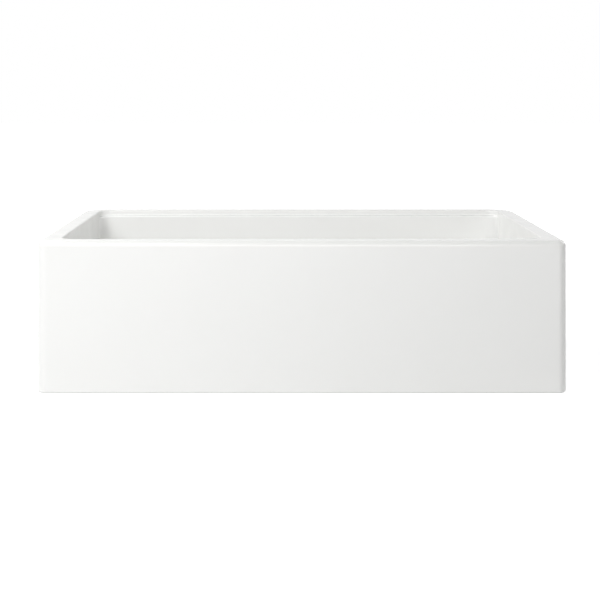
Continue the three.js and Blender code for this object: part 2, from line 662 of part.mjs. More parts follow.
function stopperNut() {
  const hexagon = new THREE.Shape(Array.from({ length: 6 }, (_, i) => {
    const angle = (i / 6) * 2 * Math.PI;
    return new THREE.Vector2(STOPPER_NUT_R * Math.cos(angle), STOPPER_NUT_R * Math.sin(angle));
  }));
  hexagon.holes.push(new THREE.Path().absarc(0, 0, STEM_THREAD_R + RUNNING_GAP, 0, 2 * Math.PI, true));
  return extruded(hexagon, STOPPER_NUT_Z, STOPPER_NUT_HEIGHT, SMALL_SEGMENTS / 2);
}

// ---- Assembly ----

const fixed = new THREE.Group();
fixed.add(
  piece('sink_body', sinkBody(), glaze),
  piece('flange_seal', flangeSeal(), foam),
  piece('strainer_body', strainerBody(), steel),
  piece('outlet_cross', outletCross(), steel),
  piece('under_gasket', underGasket(), rubber),
  piece('friction_ring', frictionRing(), fibre),
  piece('locknut', locknut(), zinc),
  piece('tailpiece_washer', tailpieceWasher(), nylon),
  piece('coupling_nut', couplingNut(), zinc),
);

const stopper = new THREE.Group();
stopper.add(
  piece('stopper_stem', stopperStem(), steel),
  piece('stopper_knob', stopperKnob(), steel),
  piece('stopper_washer', stopperWasher(), steel),
  piece('stopper_seal', stopperSeal(), rubber),
  piece('stopper_nut', stopperNut(), steel),
);

const liftOut = new THREE.Group();
liftOut.add(piece('basket', basket(), steel), piece('detent_clip', detentClip(), steel), stopper);

const sink = new THREE.Group();
sink.add(fixed, liftOut);

export default sink;
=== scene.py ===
"""A white fireclay farmhouse sink with a basket strainer in its floor, under soft studio light.

Metres, +Z up, the apron faces -Y, the origin is on the ground under the middle of the sink and the
drain is on the Z axis. Every shown piece is modelled here at the place of the CAD node it stands for.
"""

import math

import bpy
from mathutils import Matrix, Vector


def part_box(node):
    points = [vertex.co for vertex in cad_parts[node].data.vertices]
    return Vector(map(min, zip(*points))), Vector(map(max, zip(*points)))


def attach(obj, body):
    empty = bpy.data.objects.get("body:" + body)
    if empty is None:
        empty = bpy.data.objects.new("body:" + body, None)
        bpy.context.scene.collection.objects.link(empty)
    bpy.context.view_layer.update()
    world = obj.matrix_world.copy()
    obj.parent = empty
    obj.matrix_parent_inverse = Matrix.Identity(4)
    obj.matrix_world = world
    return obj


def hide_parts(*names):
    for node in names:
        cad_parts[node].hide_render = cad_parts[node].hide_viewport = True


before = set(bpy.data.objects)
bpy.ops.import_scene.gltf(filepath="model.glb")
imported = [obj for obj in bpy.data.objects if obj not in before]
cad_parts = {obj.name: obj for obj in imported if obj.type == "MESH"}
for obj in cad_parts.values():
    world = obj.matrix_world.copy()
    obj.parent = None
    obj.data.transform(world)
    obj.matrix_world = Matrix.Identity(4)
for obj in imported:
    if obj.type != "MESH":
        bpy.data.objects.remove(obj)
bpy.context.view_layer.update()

# ---- Sizes of the casting, in metres ----

OUTER_DRAFT = 1.0  # degrees
BOWL_DRAFT = 0.5
RECESS_DRAFT = 2.0
FRONT_CORNER_R = 0.016
BACK_CORNER_R = 0.050
FOOT_OUTER_R = 0.004
FOOT_INNER_R = 0.003
RIM_OUTER_R = 0.010
RIM_INNER_R = 0.003
WALL = 0.035  # thinner above the ledges by their width
BOWL_CORNER_R = 0.024
COVE_R = 0.020
LEDGE_DROP = 0.011
LEDGE_WIDTH = 0.010
LEDGE_EDGE_R = 0.003
LEDGE_ROOT_R = 0.002
FLOOR_FALL = 0.005
FLOOR_THICKNESS = 0.020
FOOT_HEIGHT = 0.035
FOOT_WIDTH = 0.034
RECESS_CORNER_R = 0.030
RECESS_EDGE_R = 0.012
HOLE_R = 0.045
HOLE_EDGE_R = 0.0015
REBATE_R = 0.0595
REBATE_DEPTH = 0.0035
REBATE_ROOT_R = 0.0008
LEAST_CORNER_R = 0.0005
BARE_FOOT_RINGS = 2  # rings of the foot's outer edge that are left bare

# ---- Small edges and threads, in metres ----

SHARP_EASE = 0.0002
FIBRE_EASE = 0.00025
FINE_EASE = 0.0003
SMALL_EASE = 0.0004
EDGE_EASE = 0.0006
SOFT_EASE = 0.0012
PLAIN_END = 0.0005  # left plain at an end of a threaded cylinder
CUP_THREAD_PITCH = 0.0021
CUP_THREAD_DEPTH = 0.0005
CUP_THREAD_TOP = 0.004  # from the dish's foot down to the thread
COLLAR_THREAD_TOP = 0.001  # from the cup's bottom down to the thread
STEM_THREAD_PITCH = 0.001
STEM_THREAD_DEPTH = 0.00025
STEM_THREAD_TOP = 0.0006  # from the stem's shoulder down to the thread
THREAD_POINTS = 8  # to each turn

# ---- Sizes of the strainer and its basket, in metres ----

SHEET = 0.0012  # metal of the cup
FLANGE_LIP = 0.0022
DISH_R = 0.047
DISH_DEPTH = 0.0055
DISH_EASE = 0.0025
THREAD_R = 0.0425  # outside of the cup
CUP_BORE_R = THREAD_R - SHEET
CUP_CORNER_R = 0.006
OUTLET_R = 0.019
OUTLET_EASE = 0.0015
COLLAR_WALL = 0.0045
COLLAR_LENGTH = 0.0115
COLLAR_FILLET_R = 0.0008
GASKET_RIB = 0.0005
GASKET_RIB_PLACES = (0.3, 0.7)  # as shares of the gasket's width, from outside
GASKET_EASE = 0.0007
NUT_BORE_R = 0.0428
NUT_WALL = 0.0085
NUT_FLANGE_WIDTH = 0.012
NUT_FLANGE_THICKNESS = 0.0025
NUT_LUGS = 8
NUT_LUG_LENGTH = 0.007
NUT_LUG_ROOT = 0.015
NUT_LUG_TIP = 0.010
NUT_EASE = 0.0008
COUPLING_FLATS = 8
COUPLING_CHAMFER = 0.0015
COUPLING_LIP = 0.002
COUPLING_MOUTH_R = 0.0203
TAIL_WASHER_BORE_R = 0.0195
CROSS_ARM_WIDTH = 0.0025
CROSS_HUB_R = 0.005

BASKET_SHEET = 0.0009
BASKET_TOP_R = 0.039
BASKET_BOTTOM_R = 0.035
BASKET_CORNER_R = 0.004
RIM_BEND = 0.0012
BEND_LEAN = 0.2  # outwards for each metre up, where the wall meets the rim's bend
NECK_BORE_R = 0.0057
NECK_MOUTH_R = 0.0042
NECK_HEIGHT = 0.0095
NECK_STRAIGHT = 0.002  # how near the floor the neck stays straight
SLOTS = 24
SLOT_WIDTH = 0.003
SLOT_LOW_MARGIN = 0.0055
SLOT_TOP_MARGIN = 0.004
BASKET_HOLES = (8, 14)  # holes in each ring of the basket's floor
FLOOR_HOLE_R = 0.0018
CLIP_SLOT_ANGLE = 36  # degrees left open in the split sleeve
CLIP_WAIST = 0.0006  # how far the sleeve's middle is drawn in
CLIP_WAIST_PLACE = 0.7  # where the waist starts, as a share of the way from an end to the middle

SEAT_GAP = 0.0003
RUNNING_GAP = 0.00025
THREAD_GAP = 0.0003

STEM_R = 0.0035
STEM_SHOULDER = 0.0005
GROOVE = 0.0014
GROOVE_DEPTH = 0.0005
STOPPER_TRAVEL = 0.006
STOPPER_BORE_R = STEM_R - STEM_SHOULDER + RUNNING_GAP  # of the washer, the seal and the nut
KNOB_R = 0.0115
KNOB_EDGE_R = 0.003
KNOB_CROWN = 0.0006
KNOB_CROWN_START = 82  # degrees above the widest point of the head's round edge
KNOB_FOOT_R = 0.0075
KNOB_FOOT_HEIGHT = 0.0015
KNOB_WAIST_R = 0.006
KNOB_WAIST_HEIGHT = 0.003
KNOB_SOCKET = 0.007
SEAL_BEVEL = 0.0016
SEAL_HUB_WIDTH = 0.005
SEAL_RIM_WIDTH = 0.003
SEAL_SLOPE_WIDTH = 0.001
SEAL_HOLLOW = 0.0007  # depth of the shallow ring in the seal's underside
SEAL_EASE = 0.0005
HEX_CHAMFER = 0.0007

# ---- Fineness ----

CORNER_STEPS = 18
LONG_STEPS = 44
SHORT_STEPS = 24
EDGE_STEPS = 10
FINE = 168  # segments round the basket, which its 24 slots, 14 holes and 8 holes divide evenly
MEDIUM = 96
COARSE = 48
HEX_SEGMENTS = 72
LUG_SEGMENTS = 30  # to each lug
FLAT_SEGMENTS = 20  # to each flat
SLOT_SIDE_STEPS = 9
SLOT_CELL_RINGS = (0.45, 0.8, 1.0)  # as shares of the way from a cell's border to its slot
HOLE_SIDE_STEPS = 4
HOLE_CELL_RINGS = (0.5, 0.85, 1.0)  # as shares of the way from a cell's border to its hole
GROOVE_PLACES = (0.25, 0.5, 0.75)  # as shares of a groove's width
CROWN_PLACES = (0.15, 0.35, 0.6, 0.85)  # as shares of the way from the crown's edge to its middle


def slope(degrees):
    return math.tan(math.radians(degrees))


# ---- Heights and half sizes of the casting ----

_, body_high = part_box("sink_body")
foot_lean = FOOT_OUTER_R * slope(OUTER_DRAFT)
half_width = body_high.x + foot_lean  # on the ground, as if the foot's edge were sharp
half_depth = body_high.y + foot_lean
height = body_high.z
drain_z = FOOT_HEIGHT + FLOOR_THICKNESS
floor_z = drain_z + FLOOR_FALL
ledge_z = height - LEDGE_DROP
rebate_z = drain_z - REBATE_DEPTH


# ---- Outlines ----

def mix(a, b, t):
    return a + (b - a) * t


def polar(radius, angle, z):
    return (radius * math.cos(angle), radius * math.sin(angle), z)


def evenly(first, last, steps):
    return [mix(first, last, i / steps) for i in range(steps + 1)]


def round_angles(count):
    return [2 * math.pi * i / count for i in range(count)]


def arc(r, z, radius, start, end, steps=EDGE_STEPS):
    """Points (r, z) on an arc about (r, z), from one angle to another in degrees, both included."""
    angles = [math.radians(mix(start, end, i / steps)) for i in range(steps + 1)]
    return [(r + radius * math.cos(a), z + radius * math.sin(a)) for a in angles]


def spread(first, last, steps):
    """Values from first to last, both left out, closer together near the ends."""
    shares = [mix(i / steps, 0.5 - 0.5 * math.cos(math.pi * i / steps), 0.8) for i in range(1, steps)]
    return [mix(first, last, share) for share in shares]


def eased(outline, radius, steps=3, closed=True):
    """An outline of (r, z) points with its corners rounded."""
    count = len(outline)
    out = []
    for i, (r, z) in enumerate(outline):
        if not closed and i in (0, count - 1):
            out.append((r, z))
            continue
        here = Vector((r, z))
        before = Vector(outline[i - 1]) - here
        after = Vector(outline[(i + 1) % count]) - here
        reach = min(radius, 0.45 * before.length, 0.45 * after.length)
        a, b = here + before.normalized() * reach, here + after.normalized() * reach
        for k in range(steps + 1):
            t = k / steps
            out.append(tuple(a * (1 - t) ** 2 + here * (2 * t * (1 - t)) + b * t**2))
    return out


# ---- Meshes ----

def finished(name, verts, faces, material, node, body, slot, sharp=35):
    """A smooth-shaded piece that stands for a CAD node and rides on its body."""
    mesh = bpy.data.meshes.new(name)
    mesh.from_pydata([tuple(v) for v in verts], [], faces)
    mesh.validate()
    mesh.shade_smooth()
    mesh.set_sharp_from_angle(angle=math.radians(sharp))
    mesh.materials.append(material)
    piece = bpy.data.objects.new(name, mesh)
    bpy.context.scene.collection.objects.link(piece)
    weighted = piece.modifiers.new("flat_faces_stay_flat", "WEIGHTED_NORMAL")
    weighted.keep_sharp = True
    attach(piece, body)
    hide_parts(node)
    return piece


def skin(rings, closed=False):
    """Quads between successive rings of equally many points; closed joins the last ring to the first."""
    count = len(rings[0])
    verts = [p for ring in rings for p in ring]
    faces = []
    for i in range(len(rings) if closed else len(rings) - 1):
        low_ring, high_ring = i * count, ((i + 1) % len(rings)) * count
        for j in range(count):
            k = (j + 1) % count
            faces.append((low_ring + j, low_ring + k, high_ring + k, high_ring + j))
    return verts, faces


def turned(outline, segments, shape=None, closed=True):
    """A surface of revolution, capped at both ends if its outline isn't closed.

    shape(r, z, angle) may move a point to another radius.
    """
    angles = round_angles(segments)
    rings = [[polar(shape(r, z, a) if shape else r, a, z) for a in angles] for r, z in outline]
    if closed:
        return skin(rings, closed=True)
    return capped(*skin(rings), len(rings), segments)


def capped(verts, faces, rings, segments):
    """Closes a turned surface at both ends with a fan."""
    for first, flip in ((0, True), ((rings - 1) * segments, False)):
        z = verts[first][2]
        centre = len(verts)
        verts.append((0.0, 0.0, z))
        for i in range(segments):
            a, b = first + i, first + (i + 1) % segments
            faces.append((b, a, centre) if flip else (a, b, centre))
    return verts, faces


# ---- Casting ----

def rounded_ring(z, half_x, front, back, front_r, back_r):
    """A rectangle with round corners at one height, anticlockwise from the middle of its right side."""
    corners = []
    for sx, y, sy, radius, start in (
        (1, back, -1, back_r, 0),
        (-1, back, -1, back_r, 90),
        (-1, front, 1, front_r, 180),
        (1, front, 1, front_r, 270),
    ):
        radius = max(radius, LEAST_CORNER_R)
        centre_x, centre_y = sx * (half_x - radius), y + sy * radius
        corners.append(arc(centre_x, centre_y, radius, start, start + 90, CORNER_STEPS))
    points = []
    for i, corner in enumerate(corners):
        points += corner
        steps = LONG_STEPS if i % 2 == 0 else SHORT_STEPS
        (x0, y0), (x1, y1) = corner[-1], corners[(i + 1) % 4][0]
        points += list(zip(spread(x0, x1, steps), spread(y0, y1, steps)))
    middle = len(points) - SHORT_STEPS // 2
    points = points[middle:] + points[:middle]
    return [Vector((x, y, z)) for x, y in points]


def round_ring(radius, z, count):
    return [Vector(polar(radius, a, z)) for a in round_angles(count)]


def blended(ring_a, ring_b, t, z=None):
    """A ring between two others, levelled at z if that is given."""
    ring = [a.lerp(b, t) for a, b in zip(ring_a, ring_b)]
    if z is not None:
        for p in ring:
            p.z = z
    return ring


def outside(z, inset=0.0):
    """The outside at one height, which leans in on its way up."""
    lean = z * slope(OUTER_DRAFT) + inset
    front_r, back_r = FRONT_CORNER_R - inset, BACK_CORNER_R - inset
    return rounded_ring(z, half_width - lean, lean - half_depth, half_depth - lean, front_r, back_r)


def bowl(z, inset=0.0, step=0.0):
    """The bowl at one height: inset draws it in all round, step sets back its front and back only."""
    lean = height * slope(OUTER_DRAFT) + WALL + (height - z) * slope(BOWL_DRAFT) + inset
    front, back = lean - step - half_depth, half_depth - lean + step
    radius = BOWL_CORNER_R - inset
    return rounded_ring(z, half_width - lean, front, back, radius, radius)


def recess(z, inset=0.0):
    """The hollow of the foot at one height, which narrows on its way up."""
    lean = FOOT_WIDTH + z * slope(RECESS_DRAFT) + inset
    radius = RECESS_CORNER_R - inset
    return rounded_ring(z, half_width - lean, lean - half_depth, half_depth - lean, radius, radius)


def outer_rings():
    """Foot edge, apron and the rim's outer edge, from the ground up."""
    foot = arc(0, FOOT_OUTER_R, FOOT_OUTER_R, -90, 0)
    rim = arc(0, height - RIM_OUTER_R, RIM_OUTER_R, 0, 90)
    rings = [outside(z, FOOT_OUTER_R - out) for out, z in foot]
    rings += [outside(z) for z in spread(FOOT_OUTER_R, height - RIM_OUTER_R, 14)]
    rings += [outside(z, RIM_OUTER_R - out) for out, z in rim]
    return rings


def bowl_rings():
    """The rim's inner edge, the step ledges, the walls and the cove, from the rim down."""
    lip = arc(RIM_INNER_R, height - RIM_INNER_R, RIM_INNER_R, 90, 180)
    root = arc(0, ledge_z + LEDGE_ROOT_R, LEDGE_ROOT_R, 0, -90, 5)
    edge = arc(LEDGE_EDGE_R, ledge_z - LEDGE_EDGE_R, LEDGE_EDGE_R, 90, 180, 6)
    cove = arc(0, floor_z + COVE_R, COVE_R, 0, -90)
    rings = [bowl(z, -out, LEDGE_WIDTH) for out, z in lip]
    rings += [bowl(z, 0, LEDGE_WIDTH) for z in spread(height - RIM_INNER_R, ledge_z + LEDGE_ROOT_R, 5)]
    rings += [bowl(z, 0, LEDGE_WIDTH - LEDGE_ROOT_R + out) for out, z in root]
    rings += [bowl(ledge_z, 0, step) for step in spread(LEDGE_WIDTH - LEDGE_ROOT_R, LEDGE_EDGE_R, 5)]
    rings += [bowl(z, 0, out) for out, z in edge]
    rings += [bowl(z) for z in spread(ledge_z - LEDGE_EDGE_R, floor_z + COVE_R, 12)]
    rings += [bowl(z, COVE_R - out) for out, z in cove]
    return rings


def floor_rings(edge, count):
    """The floor from the cove's foot to the drain, which starts level at the walls and then falls."""
    mouth = round_ring(REBATE_R + HOLE_EDGE_R, drain_z, count)
    shares = spread(0, 1, 12)
    return [blended(edge, mouth, t, floor_z - FLOOR_FALL * t * t * (2 - t)) for t in shares]


def drain_rings(count):
    """The sunk seat for the strainer's flange and the hole below it, from the floor down."""
    outline = arc(REBATE_R + HOLE_EDGE_R, drain_z - HOLE_EDGE_R, HOLE_EDGE_R, 90, 180, 4)
    outline += arc(REBATE_R - REBATE_ROOT_R, rebate_z + REBATE_ROOT_R, REBATE_ROOT_R, 0, -90, 3)
    outline += arc(HOLE_R + HOLE_EDGE_R, rebate_z - HOLE_EDGE_R, HOLE_EDGE_R, 90, 180, 4)
    outline += [(HOLE_R, z) for z in spread(rebate_z - HOLE_EDGE_R, FOOT_HEIGHT + HOLE_EDGE_R, 4)]
    outline += arc(HOLE_R + HOLE_EDGE_R, FOOT_HEIGHT + HOLE_EDGE_R, HOLE_EDGE_R, 180, 270, 4)
    return [round_ring(r, z, count) for r, z in outline]


def under_rings(hole):
    """The underside of the floor and the hollow of the foot, from the drain's hole to the ground."""
    ceiling = arc(0, FOOT_HEIGHT - RECESS_EDGE_R, RECESS_EDGE_R, 90, 0)
    mouth = arc(FOOT_INNER_R, FOOT_INNER_R, FOOT_INNER_R, 180, 270, 5)
    first = recess(ceiling[0][1], RECESS_EDGE_R)
    rings = [blended(hole, first, t) for t in spread(0, 1, 9)]
    rings += [recess(z, RECESS_EDGE_R - out) for out, z in ceiling]
    rings += [recess(z) for z in spread(FOOT_HEIGHT - RECESS_EDGE_R, FOOT_INNER_R, 4)]
    rings += [recess(z, -out) for out, z in mouth]
    return rings


def casting(material):
    """The whole casting as one surface: up the outside, over the rim, down the bowl and back underneath."""
    outer = outer_rings()
    inner = bowl_rings()
    count = len(outer[0])
    rim_top = [blended(outer[-1], inner[0], t) for t in spread(0, 1, 4)]
    floor = floor_rings(inner[-1], count)
    drain = drain_rings(count)
    glazed = outer + rim_top + inner + floor + drain
    under = under_rings(drain[-1])
    foot_face = [blended(under[-1], outer[0], t) for t in spread(0, 1, 4)]
    rings = glazed + under + foot_face
    piece = finished(
        "glazed_casting", *skin(rings, closed=True), material,
        "sink_body", "sink", "fireclay_glaze", sharp=60,
    )
    bare = [i < BARE_FOOT_RINGS or i >= len(glazed) for i in range(len(rings))]
    # the rim's rounded edges and flat top are marked for painted shade, a slightly darker and yellower
    # white
    rim_first = len(outer) - EDGE_STEPS - 1
    rim_last = len(outer) + len(rim_top) + EDGE_STEPS
    shaded_rim = [rim_first <= i <= rim_last for i in range(len(rings))]
    for name, marked in (("bare_clay", bare), ("painted_rim_shade", shaded_rim)):
        values = [float(mark) for mark in marked for _ in range(count)]
        piece.data.attributes.new(name, "FLOAT", "POINT").data.foreach_set("value", values)
    return piece


# ---- Turned pieces of the strainer ----

def reach(node):
    """How far a CAD node reaches along X from the drain's axis, its bottom and its top."""
    node_low, node_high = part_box(node)
    return node_high.x, node_low.z, node_high.z


def thread(bottom, top, radius, pitch, depth):
    """A shape for turned() that cuts a helical thread of that depth into a cylinder of that radius."""

    def shape(r, z, angle):
        if abs(r - radius) > 1e-6 or not bottom < z < top:
            return r
        turn = (z / pitch - angle / (2 * math.pi)) % 1.0
        fade = min(1.0, (z - bottom) / pitch, (top - z) / pitch)
        return r - depth * fade * (1 - abs(2 * turn - 1))

    return shape


def threaded_stretch(radius, bottom, top, pitch):
    """Outline points up a cylinder, evenly over each turn of its thread."""
    return [(radius, z) for z in evenly(bottom, top, math.ceil(THREAD_POINTS * (top - bottom) / pitch))]


def strainer_cup(steel):
    """Flange with a turned-down lip, dished mouth, threaded cup and threaded outlet collar."""
    flange_r, collar_end, top = reach("strainer_body")
    cup_bottom = collar_end + COLLAR_LENGTH
    cup_floor = cup_bottom + SHEET
    corner_r, corner_z = THREAD_R - CUP_CORNER_R, cup_bottom + CUP_CORNER_R
    collar_r = OUTLET_R + COLLAR_WALL
    collar_top = cup_bottom - COLLAR_FILLET_R
    neck_z = top - DISH_DEPTH - SHEET / 2
    flange_under = top - SHEET
    cup_thread_top = neck_z - CUP_THREAD_TOP
    collar_thread_top = cup_bottom - COLLAR_THREAD_TOP
    cup_thread = thread(corner_z, cup_thread_top, THREAD_R, CUP_THREAD_PITCH, CUP_THREAD_DEPTH)
    collar_thread = thread(collar_end, collar_thread_top, collar_r, CUP_THREAD_PITCH, CUP_THREAD_DEPTH)

    def shape(r, z, angle):
        return collar_thread(cup_thread(r, z, angle), z, angle)

    collar = [(OUTLET_R, collar_end), (collar_r, collar_end), (collar_r, cup_bottom)]
    flange = [
        (THREAD_R, neck_z),
        (DISH_R - SHEET / 2, flange_under),
        (flange_r - SHEET, flange_under),
        (flange_r - SHEET, top - FLANGE_LIP),
        (flange_r, top - FLANGE_LIP),
    ]
    mouth = [
        (flange_r - 2 * SHEET, top),
        (DISH_R, top),
        (CUP_BORE_R, top - DISH_DEPTH),
        (CUP_BORE_R, neck_z - 0.006),  # a point on the straight wall
    ]
    outlet = [
        (OUTLET_R + 0.004, cup_floor),  # a point on the flat floor
        (OUTLET_R, cup_floor),
        (OUTLET_R, collar_end + 0.001),  # a point on the straight bore
    ]
    outline = eased(collar, SMALL_EASE, closed=False)[:-1]
    outline += threaded_stretch(collar_r, collar_end + PLAIN_END, collar_top, CUP_THREAD_PITCH)
    outline += arc(collar_r + COLLAR_FILLET_R, collar_top, COLLAR_FILLET_R, 180, 90, 3)
    outline += arc(corner_r, corner_z, CUP_CORNER_R, -90, 0, 8)
    outline += threaded_stretch(THREAD_R, corner_z + FINE_EASE, neck_z, CUP_THREAD_PITCH)
    outline += eased(flange, EDGE_EASE, closed=False)[1:]
    outline += arc(flange_r - SHEET, flange_under, SHEET, 0, 90, 6)
    outline += eased(mouth, DISH_EASE, steps=6, closed=False)
    outline += arc(corner_r, corner_z, CUP_CORNER_R - SHEET, 0, -90, 8)
    outline += eased(outlet, OUTLET_EASE, closed=False)
    return finished(
        "strainer_cup", *turned(outline, MEDIUM * 2, shape), steel,
        "strainer_body", "sink", "polished_steel",
    )


def flat_ring(name, bore_r, node, ease, material, body, slot):
    """A ring of rectangular section with eased edges, in the space of its CAD node."""
    outer_r, bottom, top = reach(node)
    outline = eased([(bore_r, bottom), (outer_r, bottom), (outer_r, top), (bore_r, top)], ease)
    return finished(name, *turned(outline, MEDIUM), material, node, body, slot)


def ribbed_gasket(rubber):
    """The ring under the floor, with two moulded sealing ribs on its upper face."""
    outer_r, bottom, top = reach("under_gasket")
    face, ribs = top - GASKET_RIB, []
    for share in GASKET_RIB_PLACES:
        middle = mix(outer_r, NUT_BORE_R, share)
        ribs += [(middle + 2 * GASKET_RIB, face), (middle, top), (middle - 2 * GASKET_RIB, face)]
    section = [(NUT_BORE_R, bottom), (outer_r, bottom), (outer_r, face), *ribs, (NUT_BORE_R, face)]
    return finished(
        "sealing_gasket", *turned(eased(section, GASKET_EASE), MEDIUM), rubber,
        "under_gasket", "sink", "black_rubber", sharp=60,
    )


def lug_nut(zinc):
    """A ring nut with a bearing flange, eight tapered lugs and a plain bore, which is out of sight."""
    _, bottom, top = reach("locknut")
    hub_r, flange_r = NUT_BORE_R + NUT_WALL, NUT_BORE_R + NUT_FLANGE_WIDTH
    root = NUT_LUG_ROOT / 2 / hub_r
    tip = NUT_LUG_TIP / 2 / (hub_r + NUT_LUG_LENGTH)
    step = 2 * math.pi / NUT_LUGS

    def shape(r, z, angle):
        if r < (NUT_BORE_R + hub_r) / 2:  # the bore
            return r
        off = abs((angle % step) - step / 2)
        share = min(1.0, max(0.0, (root - off) / (root - tip)))
        near_end = min(z - bottom, top - z)
        rounding = max(0.0, NUT_EASE - near_end) ** 2 / NUT_EASE
        return max(r, hub_r + NUT_LUG_LENGTH * share * share * (3 - 2 * share) - rounding)

    section = [
        (NUT_BORE_R, bottom),
        (hub_r, bottom),
        (hub_r, top - NUT_FLANGE_THICKNESS),
        (flange_r, top - NUT_FLANGE_THICKNESS),
        (flange_r, top),
        (NUT_BORE_R, top),
    ]
    return finished(
        "lug_nut", *turned(eased(section, NUT_EASE), NUT_LUGS * LUG_SEGMENTS, shape), zinc,
        "locknut", "sink", "cast_zinc", sharp=50,
    )


def many_sided(flat_r, flats, offset=0.0):
    """A shape for turned() that cuts flats on a ring, the first flat facing the offset angle."""
    step = 2 * math.pi / flats

    def shape(r, z, angle):
        off = (angle - offset + step / 2) % step - step / 2
        return min(r, flat_r / math.cos(off))

    return shape


def coupling(nut_metal):
    """The nut that clamps a tailpiece: eight flats with chamfered corners and an inner lip."""
    flat_r, bottom, top = reach("coupling_nut")
    bore_r = OUTLET_R + COLLAR_WALL + THREAD_GAP
    crown_r = flat_r + COUPLING_CHAMFER
    section = [
        (COUPLING_MOUTH_R, bottom),
        (flat_r, bottom),
        (crown_r, bottom + COUPLING_CHAMFER),
        (crown_r, top - COUPLING_CHAMFER),
        (flat_r, top),
        (bore_r, top),
        (bore_r, bottom + COUPLING_LIP),
        (COUPLING_MOUTH_R, bottom + COUPLING_LIP),
    ]
    flats = many_sided(flat_r, COUPLING_FLATS)
    return finished(
        "coupling", *turned(eased(section, SMALL_EASE), COUPLING_FLATS * FLAT_SEGMENTS, flats),
        nut_metal, "coupling_nut", "sink", "chromed_nut", sharp=25,
    )


def outlet_grid(steel):
    """Four arms and a hub pressed into the collar, with softened edges."""
    tip_r, bottom, top = reach("outlet_cross")
    half = CROSS_ARM_WIDTH / 2
    outline = []
    for quarter in range(4):
        turn = math.pi / 2 * quarter
        tip = math.asin(half / tip_r)
        hub = math.asin(half / CROSS_HUB_R)
        outline += [(tip_r, turn + a) for a in evenly(-tip, tip, 2)]
        outline += [(CROSS_HUB_R, turn + a) for a in evenly(hub, math.pi / 2 - hub, 6)]
    count = len(outline)
    verts = [polar(r, a, z) for z in (bottom, top) for r, a in outline]
    faces = [tuple(reversed(range(count))), tuple(range(count, 2 * count))]
    faces += [(i, (i + 1) % count, count + (i + 1) % count, count + i) for i in range(count)]
    piece = finished("outlet_grid", verts, faces, steel, "outlet_cross", "sink", "polished_steel", sharp=40)
    soften(piece, SMALL_EASE)
    return piece


def soften(piece, width, segments=3, degrees=40):
    """Rounds a piece's hard edges, before its normals are weighted."""
    bevel = piece.modifiers.new("softened_edges", "BEVEL")
    bevel.width = width
    bevel.segments = segments
    bevel.limit_method = "ANGLE"
    bevel.angle_limit = math.radians(degrees)
    piece.modifiers.move(len(piece.modifiers) - 1, 0)


# ---- Lift-out basket ----

def tapered_r(z, low_point, high_point):
    """The radius at one height on the straight line between two (r, z) points."""
    return mix(low_point[0], high_point[0], (z - low_point[1]) / (high_point[1] - low_point[1]))


def slotted_wall(low_point, high_point, slot_low, slot_high):
    """The basket's tapered wall round its slots: one cell of quads for each slot."""
    per_end = FINE // SLOTS
    step = 2 * math.pi / SLOTS
    rows = evenly(low_point[1], high_point[1], SLOT_SIDE_STEPS)
    half = SLOT_WIDTH / 2
    verts, faces = [], []
    for slot in range(SLOTS):
        middle = slot * step
        border = [(a, low_point[1]) for a in evenly(-step / 2, step / 2, per_end)[:-1]]
        border += [(step / 2, z) for z in rows[:-1]]
        border += [(a, high_point[1]) for a in evenly(step / 2, -step / 2, per_end)[:-1]]
        border += [(-step / 2, z) for z in reversed(rows[1:])]
        hole = [(x, slot_low + half + z) for x, z in arc(0, 0, half, 180, 360, per_end)[:-1]]
        hole += [(half, z) for z in evenly(slot_low + half, slot_high - half, SLOT_SIDE_STEPS)[:-1]]
        hole += [(x, slot_high - half + z) for x, z in arc(0, 0, half, 0, 180, per_end)[:-1]]
        hole += [(-half, z) for z in evenly(slot_high - half, slot_low + half, SLOT_SIDE_STEPS)[:-1]]
        hole = [(x / tapered_r(z, low_point, high_point), z) for x, z in hole]
        rings = [border]
        for share in SLOT_CELL_RINGS:
            rings.append([(mix(a[0], b[0], share), mix(a[1], b[1], share)) for a, b in zip(border, hole)])
        add_cell(verts, faces, [
            [polar(tapered_r(z, low_point, high_point), middle + angle, z) for angle, z in ring]
            for ring in rings
        ])
    return verts, faces


def add_cell(verts, faces, rings):
    """Adds a cell of quads between closed rings, listed from its border to its hole."""
    first, count = len(verts), len(rings[0])
    for ring in rings:
        verts.extend(ring)
    for i in range(len(rings) - 1):
        for j in range(count):
            k = (j + 1) % count
            a, b = first + i * count, first + (i + 1) * count
            faces.append((a + j, a + k, b + k, b + j))


def drilled_floor(z, inner_r, outer_r, hole_circle_r, holes):
    """A flat band of the basket's floor with a ring of round holes, facing down."""
    per_arc = FINE // holes
    step = 2 * math.pi / holes
    verts, faces = [], []
    for i in range(holes):
        middle = (i + 0.5) * step
        border = [(inner_r, a) for a in evenly(-step / 2, step / 2, per_arc)[:-1]]
        border += [(r, step / 2) for r in evenly(inner_r, outer_r, HOLE_SIDE_STEPS)[:-1]]
        border += [(outer_r, a) for a in evenly(step / 2, -step / 2, per_arc)[:-1]]
        border += [(r, -step / 2) for r in evenly(outer_r, inner_r, HOLE_SIDE_STEPS)[:-1]]
        border = [polar(r, middle + a, z) for r, a in border]
        centre = Vector(polar(hole_circle_r, middle, z))
        rings = [border]
        for share in HOLE_CELL_RINGS:
            ring = []
            for p in border:
                edge = centre + (Vector(p) - centre).normalized() * FLOOR_HOLE_R
                ring.append(tuple(Vector(p).lerp(edge, share)))
            rings.append(ring)
        add_cell(verts, faces, rings)
    return verts, faces


def joined(*sheets):
    """Several (verts, faces) as one, with shared border points merged."""
    verts, faces, places = [], [], {}
    for sheet_verts, sheet_faces in sheets:
        indices = []
        for v in sheet_verts:
            key = tuple(round(c * 1e7) for c in v)
            if key not in places:
                places[key] = len(verts)
                verts.append(tuple(v))
            indices.append(places[key])
        faces += [tuple(indices[i] for i in face) for face in sheet_faces]
    return verts, faces


